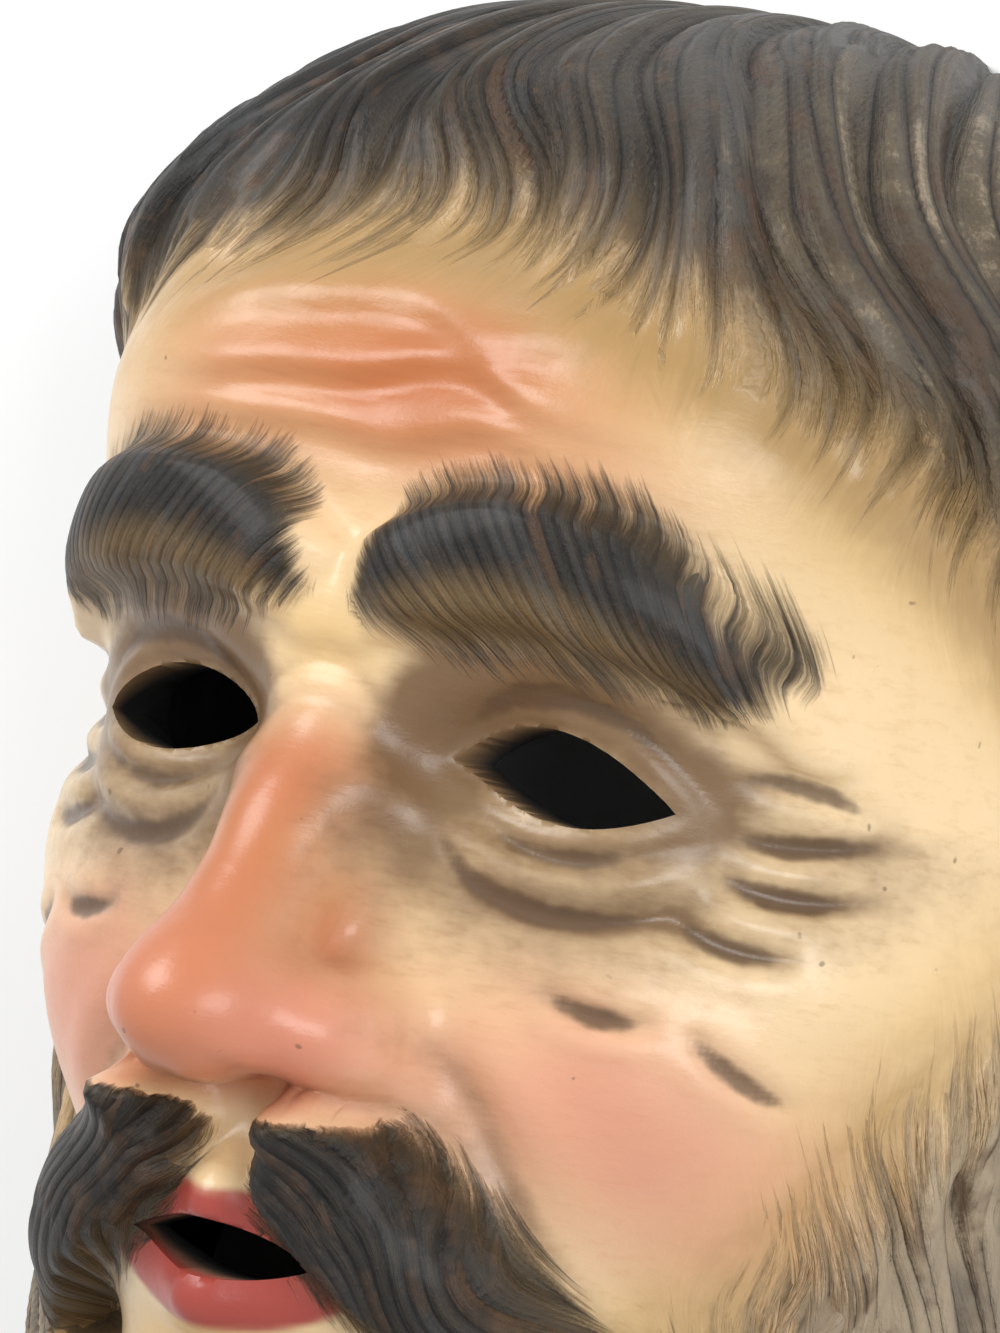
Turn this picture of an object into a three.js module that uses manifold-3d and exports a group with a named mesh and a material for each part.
// A carnival mask of an old man, carved from one block of limewood and hollowed from behind.
// It lies on its flat back rim. Millimetres. +Z points out of the face, +Y to the crown of
// the head and +X to the right of someone who looks at the face.
//
// The form is built the way a carver roughs it out. Round masses run into each other, the
// hair, brows, moustache and beard lie on them as thicker layers, and gouge cuts part those
// layers into locks. A square net is laid over the masses, drawn in until it touches them,
// and closed at the back. The hollow is a second, plainer net inside the first.

import * as THREE from 'three';
import Module from 'manifold-3d';
import { LoftGeometry } from 'three/addons/geometries/LoftGeometry.js';
import { mergeGeometries, mergeVertices } from 'three/addons/utils/BufferGeometryUtils.js';

// Driving dimensions. Heights are measured from the base of the nose before the finished
// mask is centred on its origin.
const THIRD = 70;             // brow to nose base, and nose base to chin
const EYE_LINE = 48;          // height of the middle of the eye holes
const EYE_X = 34;             // middle of an eye hole from the middle of the face
const EYE_HALF = 16.5;        // half the width of an eye hole
const EYE_LIFT = 7.6;         // its upper edge above the eye line
const EYE_DROP = 5.4;         // its lower edge below the eye line
const MOUTH_LINE = -25.5;     // height of the mouth slot
const MOUTH_HALF = 16;        // half its width
const MOUTH_GAPE = 4.2;       // half its height
const HAIRLINE = 122.5;       // lowest hair in the middle of the forehead
const TEMPLE_FALL = 43;       // how much lower it is halfway round to the ears
const SIDEBURN = 72;          // bearing, in degrees, from which the hair falls no lower
const HAIR_THICK = 10;        // hair over the skull
const BEARD_THICK = 9;        // beard over the jaw
const MOUSTACHE_THICK = 10;
const BROW_THICK = 6.5;
const LOCK_CUT = 3.2;         // depth of the cuts between the locks of hair
const BEARD_CUT = 3.6;        // depth of the cuts between the locks of the beard
const LOCK_TURN = 5.2;        // width of a lock of hair, in degrees round the crown
const WALL = 9;               // wood left everywhere between face and hollow
const BEHIND_HAIR = 2;        // how far the hollow stays inside the bare skull
const EYE_THIN = 98;          // depth at which the eye holes begin to widen to the hollow
const MOUTH_THIN = 112;       // the same for the mouth slot
const SKIRT = 6;              // how far the tool that cuts the hollow reaches out of the rim

// The net: how many meshes it has across and down, and the block that it starts from.
const NET = { across: 58, down: 66, tight: 0.3 };
const HOLLOW_NET = { across: 22, down: 24, tight: 0.15 };
const BLOCK = new THREE.Vector3(96, 148, 118);
const BLOCK_MIDDLE = 30;

const { abs, atan2, cos, exp, floor, hypot, max, min, PI, sin, sqrt, sign } = Math;
const degrees = (radians) => THREE.MathUtils.radToDeg(radians);
const smooth = (low, high, x) => THREE.MathUtils.smoothstep(x, low, high);
const bump = (x, width) => exp(-((x / width) ** 2));

// Two masses run together over a fillet of size k, or one is taken off the other.
function join(a, b, k) {
  const h = max(k - abs(a - b), 0);
  return min(a, b) - (h * h) / (4 * k);
}

function carve(a, b, k) {
  return -join(-a, b, k);
}

// Distance to an egg and to a round bar that tapers from one end to the other.
function egg(p, [cx, cy, cz], [rx, ry, rz]) {
  const x = (p.x - cx) / rx;
  const y = (p.y - cy) / ry;
  const z = (p.z - cz) / rz;
  const k0 = hypot(x, y, z) + 1e-6;
  const k1 = hypot(x / rx, y / ry, z / rz) + 1e-6;
  return (k0 * (k0 - 1)) / k1;
}

function bar(p, [ax, ay, az], [bx, by, bz], startRadius, endRadius) {
  const run = { x: bx - ax, y: by - ay, z: bz - az };
  const from = { x: p.x - ax, y: p.y - ay, z: p.z - az };
  const dot = from.x * run.x + from.y * run.y + from.z * run.z;
  const t = min(max(dot / (run.x ** 2 + run.y ** 2 + run.z ** 2), 0), 1);
  const gap = hypot(from.x - t * run.x, from.y - t * run.y, from.z - t * run.z);
  return gap - (startRadius + (endRadius - startRadius) * t);
}

// The head without hair or features. The skull is squarer above the temples than below.
// q is p folded onto the right half of the face.
function skull(p) {
  const power = 2.25 + 0.45 * smooth(30, 100, p.y);
  const x = (abs(p.x) / 83) ** power;
  const y = (abs(p.y - 62) / 101) ** power;
  const z = (abs(p.z - 8) / 109) ** power;
  return ((x + y + z + 1e-9) ** (1 / power) - 1) * 90;
}

function bareHead(p, q) {
  let head = join(skull(p), egg(p, [0, -8, 6], [76, 72, 102]), 30);
  head = join(head, egg(q, [30, 98, 70], [32, 28, 44]), 24);
  const cheekPad = egg(q, [39, 12, 77], [25, 26, 25]);
  head = join(head, cheekPad, 16);
  const cheekbone = egg(q, [57, 27, 58], [21, 14, 27]);
  head = join(head, cheekbone, 18);
  const muzzle = egg(p, [0, -22, 90], [38, 27, 30]);
  head = join(head, muzzle, 14);
  const chin = egg(p, [0, 14 - THIRD, 86], [27, 19, 29]);
  return join(head, chin, 16);
}

function nose(p, q) {
  const bridge = bar(p, [0, 62, 106], [0, 36, 119], 8, 9);
  const ridge = bar(p, [0, 36, 119], [0, 14, 131], 9, 10.5);
  const tip = egg(p, [0, 8.5, 134], [12.5, 10.5, 13.5]);
  const wings = egg(q, [15, 7.5, 118], [8.5, 9, 14.5]);
  const nostrils = egg(q, [8, -2, 129], [4.6, 3.6, 7.5]);
  const whole = join(join(join(bridge, ridge, 6), tip, 6), wings, 4);
  return carve(whole, nostrils, 2);
}

function features(p, q, head) {
  const socket = egg(q, [EYE_X, EYE_LINE + 1, 124], [21, 14.5, 21]);
  let face = carve(head, socket, 10);
  const innerBrow = bar(q, [9, 68, 106], [34, 73, 102], 11, 11);
  face = join(face, innerBrow, 9);
  const outerBrow = bar(q, [34, 73, 102], [55, 66, 84], 11, 8);
  face = join(face, outerBrow, 9);
  const eyeball = egg(q, [EYE_X - 0.5, EYE_LINE - 0.5, 86], [21, 21, 21]);
  face = join(face, eyeball, 5);
  face = join(face, nose(p, q), 7);
  const upperLip = bar(q, [0, MOUTH_LINE + 7, 119.5], [27, MOUTH_LINE + 1, 103], 6.2, 3.5);
  face = join(face, upperLip, 4);
  const lowerLip = bar(q, [0, MOUTH_LINE - 7, 117], [22, MOUTH_LINE - 3, 105], 7.6, 4);
  face = join(face, lowerLip, 4);
  const underLip = egg(p, [0, -45, 128], [24, 5, 10]);
  return carve(face, underLip, 8);
}

function jaw(p, face) {
  const round = egg(p, [0, -50, 14], [90, 66, 58]);
  const front = egg(p, [0, -74, 60], [48, 40, 46]);
  return join(join(face, round, 16), front, 20);
}

// Where the hair and the beard begin: a height for each bearing round the head, in degrees
// from straight ahead, and from it a distance into the hair or the beard.
const bearing = (q) => degrees(atan2(q.x, q.z + 18));

function hairEdge(turn) {
  return HAIRLINE - TEMPLE_FALL * (min(abs(turn), SIDEBURN) / 45) ** 1.44;
}

function beardEdge(turn) {
  return -52 + 80 * smooth(16, 54, turn);
}

function distancePast(edge, q) {
  const turn = bearing(q);
  const reach = hypot(q.x, q.z + 18);
  const slope = (edge(turn + 1) - edge(turn - 1)) / ((2 * PI * reach) / 180);
  return (q.y - edge(turn)) / sqrt(1 + slope * slope);
}

function hairAndBeard(q) {
  const front = bump(bearing(q), 50);
  const hair = smooth(-2, 7 + 26 * front, distancePast(hairEdge, q));
  const beard = smooth(-3, 17, -distancePast(beardEdge, q));
  return max(hair * (HAIR_THICK - 1.5 * front), beard * BEARD_THICK);
}

// Brow and moustache follow a curve drawn on the front of the face. A place beside the curve
// is known by its share of the length and by its distance across.
const onFace = (points) => points.map(([x, y]) => new THREE.Vector2(x, y));
const drawn = (points) => new THREE.CubicBezierCurve(...onFace(points)).getPoints(14);
const BROW = drawn([[4, 69], [20, 80], [46, 83], [65, 60]]);
const MOUSTACHE = drawn([[5, -4], [15, -12], [32, -20], [52, -53]]);

function beside(line, q) {
  let nearest = Infinity;
  const place = { share: 0, across: 0 };
  for (let i = 0; i < line.length - 1; i++) {
    const a = line[i];
    const run = { x: line[i + 1].x - a.x, y: line[i + 1].y - a.y };
    const along = (q.x - a.x) * run.x + (q.y - a.y) * run.y;
    const t = min(max(along / (run.x ** 2 + run.y ** 2), 0), 1);
    const dx = q.x - a.x - t * run.x;
    const dy = q.y - a.y - t * run.y;
    const gap = hypot(dx, dy);
    if (gap < nearest) {
      nearest = gap;
      place.share = (i + t) / (line.length - 1);
      place.across = gap * sign(run.x * dy - run.y * dx);
    }
  }
  return place;
}

const moustacheHalf = (share) => 5 + 7 * smooth(0, 0.4, share) - 9 * smooth(0.55, 1, share);
const browHalf = (share) => 8.5 + 2.5 * smooth(0, 0.3, share) - 6.5 * smooth(0.6, 1, share);
const roundedOver = (across, half) => sqrt(max(1 - (across / half) ** 2, 0));

function browAndMoustache(q) {
  if (q.z < 45) return 0;
  const lobe = beside(MOUSTACHE, q);
  const lobeRise = MOUSTACHE_THICK * roundedOver(lobe.across, moustacheHalf(lobe.share));
  const brow = beside(BROW, q);
  const browRise = BROW_THICK * roundedOver(brow.across, browHalf(brow.share));
  return max(lobeRise * smooth(-0.08, 0.12, lobe.share), browRise * smooth(-0.1, 0.12, brow.share));
}

const folded = (p) => ({ x: sqrt(p.x * p.x + 1), y: p.y, z: p.z });

// Distance of p from the whole roughed-out mask, and from the hollow behind it.
function roughedOut(p) {
  const q = folded(p);
  const face = jaw(p, features(p, q, bareHead(p, q)));
  return face - max(hairAndBeard(q), browAndMoustache(q));
}

function hollow(p) {
  const q = folded(p);
  return max(jaw(p, bareHead(p, q)) + BEHIND_HAIR, roughedOut(p) + WALL);
}

// Gouge cuts. A lock is round on top and ends in a sharp valley at each side.
const ridge = (s, power) => 1 - abs(2 * (s - floor(s)) - 1) ** power;
const lock = (s, depth) => (ridge(s, 2.4) - 1) * depth;

function hairCuts(p) {
  const round = degrees(atan2(p.x, p.z + 60));
  const drop = min(max((176 - p.y) / 50, 0), 3);
  const side = cos(THREE.MathUtils.degToRad(min(max((round * 90) / 64, -90), 90))) ** 2;
  const fanned = round / (1 + 0.75 * drop * side);
  const long = 1.3 * sin(p.y / 13 + fanned * 0.11 + 0.6);
  const short = 0.6 * sin(p.y / 7.5 - fanned * 0.23);
  return lock((fanned + long + short) / LOCK_TURN, LOCK_CUT);
}

function beardCuts(p) {
  const round = degrees(atan2(p.x, p.z + 34));
  const low = min(max((20 - p.y) / 140, 0), 1);
  const gathered = round * (1 + 0.25 * low) + 0.2 * p.y * sin(THREE.MathUtils.degToRad(round));
  const sway = 2.4 * sin(p.y / 8.5 + gathered * 0.16) * (1 - smooth(-40, 20, p.y));
  return lock((gathered + sway) / 6.4, BEARD_CUT);
}

function cuts(p) {
  const q = folded(p);
  const lobe = beside(MOUSTACHE, q);
  const clear = q.z > 45 ? smooth(0.9, 1.2, abs(lobe.across) / moustacheHalf(lobe.share)) : 1;
  const inHair = smooth(-1, 12, distancePast(hairEdge, q));
  const inBeard = smooth(-1, 12, -distancePast(beardEdge, q)) * clear;
  return hairCuts(p) * inHair + beardCuts(p) * inBeard;
}

// The net. Its places run from -1 to 1 each way. They are closer together in the middle of
// the face, and its square border becomes the back rim.
function netPlace(u, v, tight) {
  const a = u - (tight * sin(PI * u)) / PI;
  const b = v - (tight * sin(PI * v)) / PI;
  const x = a * sqrt(1 - (b * b) / 2);
  const y = b * sqrt(1 - (a * a) / 2);
  const r = min(hypot(x, y), 1);
  const spread = r > 1e-6 ? sin((r * PI) / 2) / r : PI / 2;
  return new THREE.Vector3(x * spread, y * spread, cos((r * PI) / 2));
}

function drawnIn(outward, onRim, form) {
  if (onRim) outward.z = 0;
  const core = outward.clone().multiply(BLOCK).multiplyScalar(0.5);
  core.y += BLOCK_MIDDLE;
  const ray = outward.clone().divide(BLOCK).normalize();
  const p = core.clone().addScaledVector(ray, 110);
  for (let step = 0; step < 60; step++) p.addScaledVector(ray, -0.8 * form(p));
  return p;
}

function gradient(form, p) {
  const e = 0.15;
  const here = form(p);
  const x = form({ x: p.x + e, y: p.y, z: p.z }) - here;
  const y = form({ x: p.x, y: p.y + e, z: p.z }) - here;
  const z = form({ x: p.x, y: p.y, z: p.z + e }) - here;
  return { here, slope: new THREE.Vector3(x, y, z).divideScalar(e) };
}

// Evens out the meshes of the net and sets each knot back on the form. A knot on the rim
// only slides along the rim.
function eased({ points, columns, rows }, form) {
  return points.map((p, i) => {
    const column = i % columns;
    const row = floor(i / columns);
    const level = column > 0 && column < columns - 1 ? [i - 1, i + 1] : [];
    const above = row > 0 && row < rows - 1 ? [i - columns, i + columns] : [];
    const isRim = level.length + above.length < 4;
    const near = [...level, ...above];
    if (near.length === 0) return p;
    const middle = near.reduce((sum, n) => sum.add(points[n]), new THREE.Vector3());
    const moved = p.clone().lerp(middle.divideScalar(near.length), 0.5);
    const { here, slope } = gradient(form, moved);
    if (isRim) slope.z = 0;
    const step = THREE.MathUtils.clamp(here / (slope.lengthSq() + 1e-6), -3, 3);
    moved.addScaledVector(slope, -step);
    moved.z = isRim ? 0 : max(moved.z, 0.5);
    return moved;
  });
}

function netOver(form, net, passes) {
  const sheet = plain(new THREE.PlaneGeometry(2, 2, net.across, net.down));
  const columns = net.across + 1;
  const rows = net.down + 1;
  const place = sheet.getAttribute('position');
  const isRim = (i) => {
    const column = i % columns;
    const row = floor(i / columns);
    return column === 0 || row === 0 || column === columns - 1 || row === rows - 1;
  };
  const laid = { points: [], columns, rows, isRim };
  for (let i = 0; i < place.count; i++) {
    const outward = netPlace(place.getX(i), place.getY(i), net.tight);
    laid.points.push(drawnIn(outward, isRim(i), form));
  }
  for (let pass = 0; pass < passes; pass++) laid.points = eased(laid, form);
  return laid;
}

// The net as a mesh. Each opening in it is folded along the diagonal that lies closer to
// the form.
function meshOf({ points, columns, rows }, form) {
  const off = (i, j) => abs(form(points[i].clone().lerp(points[j], 0.5)));
  const index = [];
  for (let row = 0; row < rows - 1; row++) {
    for (let column = 0; column < columns - 1; column++) {
      const a = row * columns + column;
      const b = a + columns;
      const c = b + 1;
      const d = a + 1;
      if (off(b, d) < off(a, c)) index.push(a, b, d, b, c, d);
      else index.push(a, b, c, a, c, d);
    }
  }
  return new THREE.BufferGeometry().setFromPoints(points).setIndex(index);
}

// The border of the net in order, counterclockwise seen from the front.
function rimOf({ points, columns, rows }) {
  const at = (column, row) => points[row * columns + column];
  const loop = [];
  for (let c = 0; c < columns - 1; c++) loop.push(at(c, rows - 1));
  for (let r = rows - 1; r > 0; r--) loop.push(at(columns - 1, r));
  for (let c = columns - 1; c > 0; c--) loop.push(at(c, 0));
  for (let r = 0; r < rows - 1; r++) loop.push(at(0, r));
  return loop;
}

function plain(geometry) {
  const bare = new THREE.BufferGeometry();
  bare.setAttribute('position', geometry.getAttribute('position'));
  return bare.setIndex(geometry.index);
}

function flatEnd(rim, height) {
  const face = plain(new THREE.ShapeGeometry(new THREE.Shape(onFace(rim.map((p) => [p.x, p.y])))));
  face.translate(0, 0, height);
  face.index.array.reverse();
  return face;
}

// The net becomes a closed solid with a flat end. A skirt first carries the rim straight back.
function closed(net, form, skirt) {
  const rim = rimOf(net);
  const sides = [meshOf(net, form), flatEnd(rim, -skirt)];
  if (skirt > 0) {
    const foot = rim.map((p) => new THREE.Vector3(p.x, p.y, -skirt));
    sides.push(plain(new LoftGeometry([foot, rim])));
  }
  return mergeVertices(mergeGeometries(sides), 1e-3);
}

function maskBlock() {
  const net = netOver(roughedOut, NET, 6);
  net.points = net.points.map((p, i) => {
    const { slope } = gradient(roughedOut, p);
    if (net.isRim(i)) slope.z = 0;
    return p.clone().addScaledVector(slope.normalize(), cuts(p));
  });
  return closed(net, (p) => roughedOut(p) - cuts(p), 0);
}

// The tools that open the eyes and the mouth. They widen towards the hollow, so that the
// wood is thin at the edge that shows.
function eyeOutline() {
  const spans = 10;
  const outline = [];
  for (let i = 0; i < 2 * spans; i++) {
    const s = i <= spans ? 1 - (2 * i) / spans : -1 + (2 * (i - spans)) / spans;
    const open = max(1 - s * s, 0);
    const lift = i <= spans ? EYE_LIFT * open ** 0.85 * (1 - 0.12 * s) : -EYE_DROP * open * (1 + 0.15 * s);
    outline.push(new THREE.Vector2(EYE_X + EYE_HALF * s, EYE_LINE - s + lift));
  }
  return outline;
}

function mouthOutline() {
  const spans = 10;
  const outline = [];
  for (let i = 0; i < 2 * spans; i++) {
    const s = i <= spans ? 1 - (2 * i) / spans : -1 + (2 * (i - spans)) / spans;
    const open = max(1 - s * s, 0) * (i <= spans ? 1 : -1);
    outline.push(new THREE.Vector2(MOUTH_HALF * s, MOUTH_LINE + MOUTH_GAPE * open));
  }
  return outline;
}

function opener(outline, thinFrom) {
  const middle = outline.reduce((sum, p) => sum.add(p), new THREE.Vector2());
  middle.divideScalar(outline.length);
  const section = (z, scale) => outline.map((p) => {
    const q = p.clone().sub(middle).multiplyScalar(scale).add(middle);
    return new THREE.Vector3(q.x, q.y, z);
  });
  const sections = [section(thinFrom - 50, 1.9), section(thinFrom, 1), section(170, 1)];
  const tool = plain(new LoftGeometry(sections, { capStart: true, capEnd: true }));
  return mergeVertices(tool, 1e-3);
}

const mirrored = (outline) => outline.map((p) => new THREE.Vector2(-p.x, p.y)).reverse();

const wasm = await Module();
wasm.setup();

function solid(geometry) {
  const vertProperties = new Float32Array(geometry.getAttribute('position').array);
  const triVerts = new Uint32Array(geometry.index.array);
  return new wasm.Manifold(new wasm.Mesh({ numProp: 3, vertProperties, triVerts }));
}

function carvedMask() {
  const inside = solid(closed(netOver(hollow, HOLLOW_NET, 4), hollow, SKIRT));
  const eye = eyeOutline();
  let wood = solid(maskBlock()).subtract(inside);
  wood = wood.subtract(solid(opener(eye, EYE_THIN)));
  wood = wood.subtract(solid(opener(mirrored(eye), EYE_THIN)));
  wood = wood.subtract(solid(opener(mouthOutline(), MOUTH_THIN)));
  const { vertProperties, triVerts } = wood.getMesh();
  const geometry = new THREE.BufferGeometry();
  geometry.setAttribute('position', new THREE.BufferAttribute(vertProperties, 3));
  geometry.setIndex(new THREE.BufferAttribute(triVerts, 1));
  geometry.computeBoundingBox();
  const middle = geometry.boundingBox.getCenter(new THREE.Vector3());
  geometry.translate(-middle.x, -middle.y, 0);
  geometry.computeVertexNormals();
  return geometry;
}

const limewood = new THREE.MeshStandardMaterial({ color: 0xd9b58a, roughness: 0.45, metalness: 0 });
const mask = new THREE.Mesh(carvedMask(), limewood);
mask.name = 'mask';

const part = new THREE.Group();
part.add(mask);

export default part;
